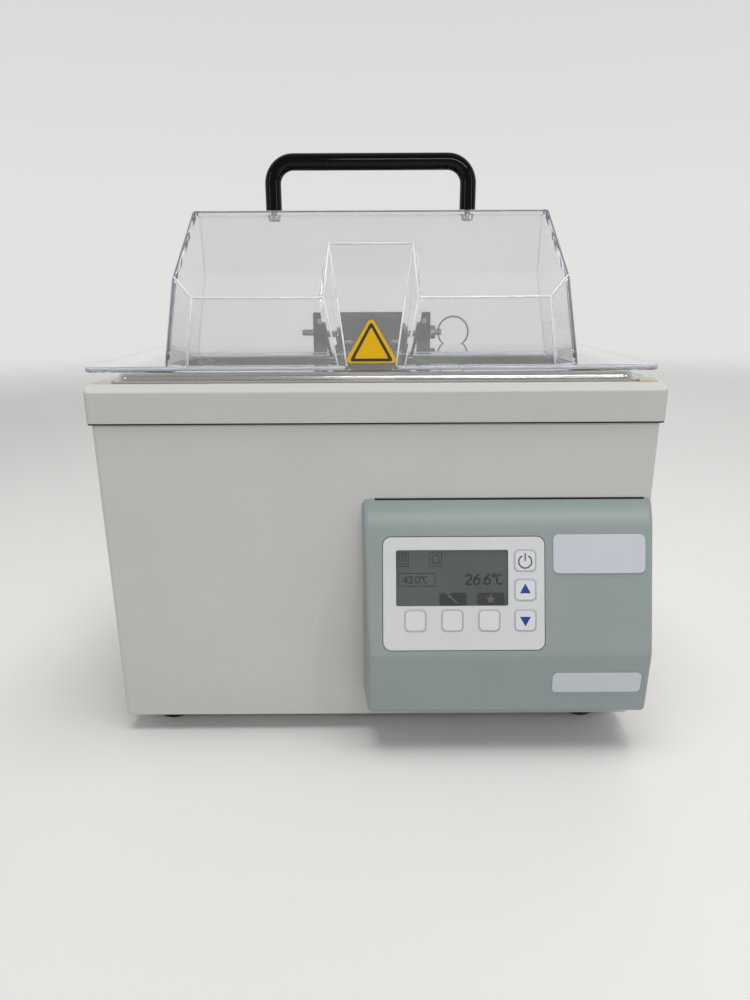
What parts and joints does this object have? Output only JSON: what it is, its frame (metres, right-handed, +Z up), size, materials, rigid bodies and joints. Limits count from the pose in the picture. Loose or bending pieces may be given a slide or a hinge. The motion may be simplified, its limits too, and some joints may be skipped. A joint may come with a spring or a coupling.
{
  "type": "laboratory water bath",
  "caption": "Small heated bench water bath: painted case, stainless tank with a raised rim, slanted control housing with keys and display, and a hinged clear gable lid with a bar handle.",
  "frame": {"origin": "on the table, under the middle of the whole bath", "axes": "+Z up, +X to the right of a user facing the controls, -Y towards the user"},
  "size_m": [0.3437, 0.2404, 0.363],
  "materials": {
    "case_paint": "satin light grey powder coat",
    "cover_plastic": "satin light grey",
    "housing_plastic": "fine-textured grey-green",
    "stainless": "polished rim, satin inside",
    "foot_rubber": "matt black",
    "seal_rubber": "grey silicone",
    "joint_seal": "matt dark grey",
    "foam": "closed foam",
    "heater_silicone": "red-brown silicone mat",
    "screw_steel": "zinc-plated",
    "sensor_steel": "bright",
    "cutout_body": "dark phenolic",
    "circuit_board": "green solder mask",
    "heatsink_alloy": "black-anodised edges",
    "terminal_plastic": "green moulding",
    "lead_cover": "silicone-covered wire",
    "ribbon": "grey ribbon",
    "black_plastic": "satin black",
    "rocker_plastic": "gloss black",
    "brass_pins": "plated",
    "fuse_glass": "clear with metal caps",
    "blank_plate": "satin off-white",
    "overlay_film": "white film, fine satin",
    "key_film": "white with coloured outline",
    "window_clear": "clear",
    "display_grey": "dark grey-green glass",
    "switch_black": "black",
    "lid_clear": "clear polycarbonate",
    "handle_black": "gloss black coating",
    "pin_steel": "bright",
    "sticker": "yellow film, black border"
  },
  "bodies": {
    "base": {"casing": "case_paint", "base_plate": "case_paint", "top_cover": "cover_plastic", "control_housing": "housing_plastic", "tank": "stainless", "foot_front_left": "foot_rubber", "foot_front_right": "foot_rubber", "foot_rear_left": "foot_rubber", "foot_rear_right": "foot_rubber", "rim_gasket": "seal_rubber", "case_seals": "joint_seal", "tank_insulation": "foam", "heater_pad": "heater_silicone", "foot_screws": "screw_steel", "base_screws": "screw_steel", "cover_screws": "screw_steel", "housing_screws": "screw_steel", "control_board_screws": "screw_steel", "inlet_screws": "screw_steel", "bracket_screws": "screw_steel", "board_standoffs": "screw_steel", "temperature_probe": "sensor_steel", "thermal_cutout": "cutout_body", "power_board": "circuit_board", "control_board": "circuit_board", "board_heatsink": "heatsink_alloy", "terminal_block": "terminal_plastic", "heater_leads": "lead_cover", "mains_leads": "lead_cover", "ribbon_cable": "ribbon", "mains_inlet": "black_plastic", "switch_frame": "black_plastic", "hinge_bracket": "black_plastic", "inlet_pins": "brass_pins", "rating_plate": "blank_plate", "upper_nameplate": "blank_plate", "lower_nameplate": "blank_plate", "key_overlay": "overlay_film", "display_window": "window_clear", "display_module": "display_grey", "key_switches": "switch_black", "cover_sticker": "sticker"},
    "lid": {"lid_shell": "lid_clear", "lid_handle": "handle_black", "handle_screws": "screw_steel", "hinge_leaf": "black_plastic", "leaf_screws": "screw_steel", "lid_sticker": "sticker"},
    "release_pin": {"hinge_pin": "pin_steel"},
    "ring": {"pull_ring": "pin_steel"},
    "tray": {"diffuser_tray": "stainless"},
    "fuse_carrier": {"fuse_drawer": "black_plastic", "fuses": "fuse_glass"},
    "rocker": {"power_rocker": "rocker_plastic"},
    "key_power_body": {"key_power": "key_film"},
    "key_up_body": {"key_up": "key_film"},
    "key_down_body": {"key_down": "key_film"},
    "key_soft_left_body": {"key_soft_left": "key_film"},
    "key_soft_middle_body": {"key_soft_middle": "key_film"},
    "key_soft_right_body": {"key_soft_right": "key_film"}
  },
  "joints": [
    {"name": "lid_hinge", "type": "hinge", "parent": "base", "child": "lid", "pos_m": [-0.0025, 0.099, 0.248], "axis": [-1, 0, 0], "range_deg": [0, 100]},
    {"name": "pin_slide", "type": "slide", "parent": "base", "child": "release_pin", "axis": [1, 0, 0], "range_m": [0, 0.085]},
    {"name": "ring_swing", "type": "hinge", "parent": "release_pin", "child": "ring", "pos_m": [0.0518, 0.099, 0.248], "axis": [0, 0, 1], "range_deg": [0, 80]},
    {"name": "tray_lift", "type": "slide", "parent": "base", "child": "tray", "axis": [0, 0, 1], "range_m": [0, 0.1]},
    {"name": "fuse_slide", "type": "slide", "parent": "base", "child": "fuse_carrier", "axis": [0, 1, 0], "range_m": [0, 0.016]},
    {"name": "rocker_tilt", "type": "hinge", "parent": "base", "child": "rocker", "pos_m": [-0.052, 0.113, 0.063], "axis": [-1, 0, 0], "range_deg": [0, 14]},
    {"name": "key_power_press", "type": "slide", "parent": "base", "child": "key_power_body", "axis": [0, 0.96, -0.28], "range_m": [0, 0.0005], "stiffness_N_per_m": 600},
    {"name": "key_up_press", "type": "slide", "parent": "base", "child": "key_up_body", "axis": [0, 0.96, -0.28], "range_m": [0, 0.0005], "stiffness_N_per_m": 600},
    {"name": "key_down_press", "type": "slide", "parent": "base", "child": "key_down_body", "axis": [0, 0.96, -0.28], "range_m": [0, 0.0005], "stiffness_N_per_m": 600},
    {"name": "key_soft_left_press", "type": "slide", "parent": "base", "child": "key_soft_left_body", "axis": [0, 0.96, -0.28], "range_m": [0, 0.0005], "stiffness_N_per_m": 600},
    {"name": "key_soft_middle_press", "type": "slide", "parent": "base", "child": "key_soft_middle_body", "axis": [0, 0.96, -0.28], "range_m": [0, 0.0005], "stiffness_N_per_m": 600},
    {"name": "key_soft_right_press", "type": "slide", "parent": "base", "child": "key_soft_right_body", "axis": [0, 0.96, -0.28], "range_m": [0, 0.0005], "stiffness_N_per_m": 600}
  ]
}
